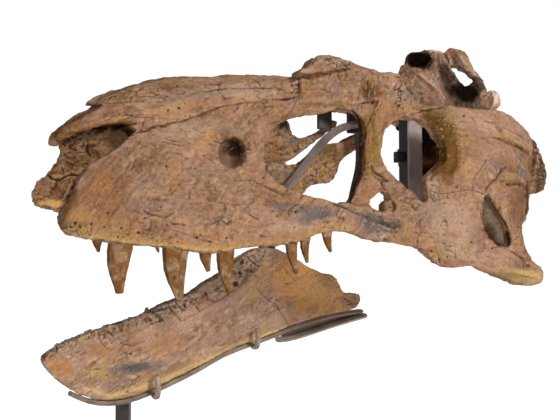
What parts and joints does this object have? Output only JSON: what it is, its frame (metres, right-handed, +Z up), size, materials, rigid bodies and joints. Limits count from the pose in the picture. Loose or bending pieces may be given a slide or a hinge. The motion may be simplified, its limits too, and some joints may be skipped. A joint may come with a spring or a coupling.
{
  "type": "dinosaur skull fossil",
  "caption": "Life-size fossil skull of a large meat-eating dinosaur with open fenestrae, curved teeth and a lower jaw bone, held by welded steel rods on a flat base plate.",
  "frame": {"origin": "centre of the base plate's underside, on the floor", "axes": "+X from the snout toward the back of the skull, -Y toward the skull's left side, +Z up"},
  "size_m": [1.38, 0.67, 1.3549],
  "materials": {
    "fossil_bone": "dry mineralised bone, tan to ochre brown, cracked and pitted",
    "fossil_bone_dark": "rough matrix-bearing fossil bone, darker brown",
    "fossil_jaw": "dry mineralised bone, warm ochre brown",
    "blackened_steel": "dark brown-black satin"
  },
  "bodies": {
    "root": {"maxilla_left": "fossil_bone", "lacrimal_left": "fossil_bone", "jugal_left": "fossil_bone", "postorbital_left": "fossil_bone", "squamosal_left": "fossil_bone", "quadratojugal_left": "fossil_bone", "quadrate_left": "fossil_bone", "maxilla_right": "fossil_bone", "nasals": "fossil_bone", "frontals": "fossil_bone", "lacrimal_horn_left": "fossil_bone", "premaxillae": "fossil_bone_dark", "parietal_crest": "fossil_bone", "braincase": "fossil_bone_dark", "palatine_left": "fossil_bone_dark", "pterygoid_left": "fossil_bone_dark", "dentary_right": "fossil_jaw", "stand_base": "blackened_steel", "stand_post": "blackened_steel", "stand_cross_beam": "blackened_steel", "stand_long_beam": "blackened_steel", "stand_riser": "blackened_steel", "stand_spine": "blackened_steel", "stand_leg": "blackened_steel", "stand_foot_plate": "blackened_steel", "stand_cross_bar": "blackened_steel", "stand_lacrimal_plate": "blackened_steel", "stand_lacrimal_bar": "blackened_steel", "stand_curved_bar": "blackened_steel", "stand_roof_tab": "blackened_steel", "stand_stub": "blackened_steel", "stand_jaw_strap": "blackened_steel", "stand_jaw_bar": "blackened_steel", "stand_jaw_web": "blackened_steel", "stand_jaw_hook_1": "blackened_steel", "stand_jaw_hook_2": "blackened_steel"}
  },
  "joints": []
}
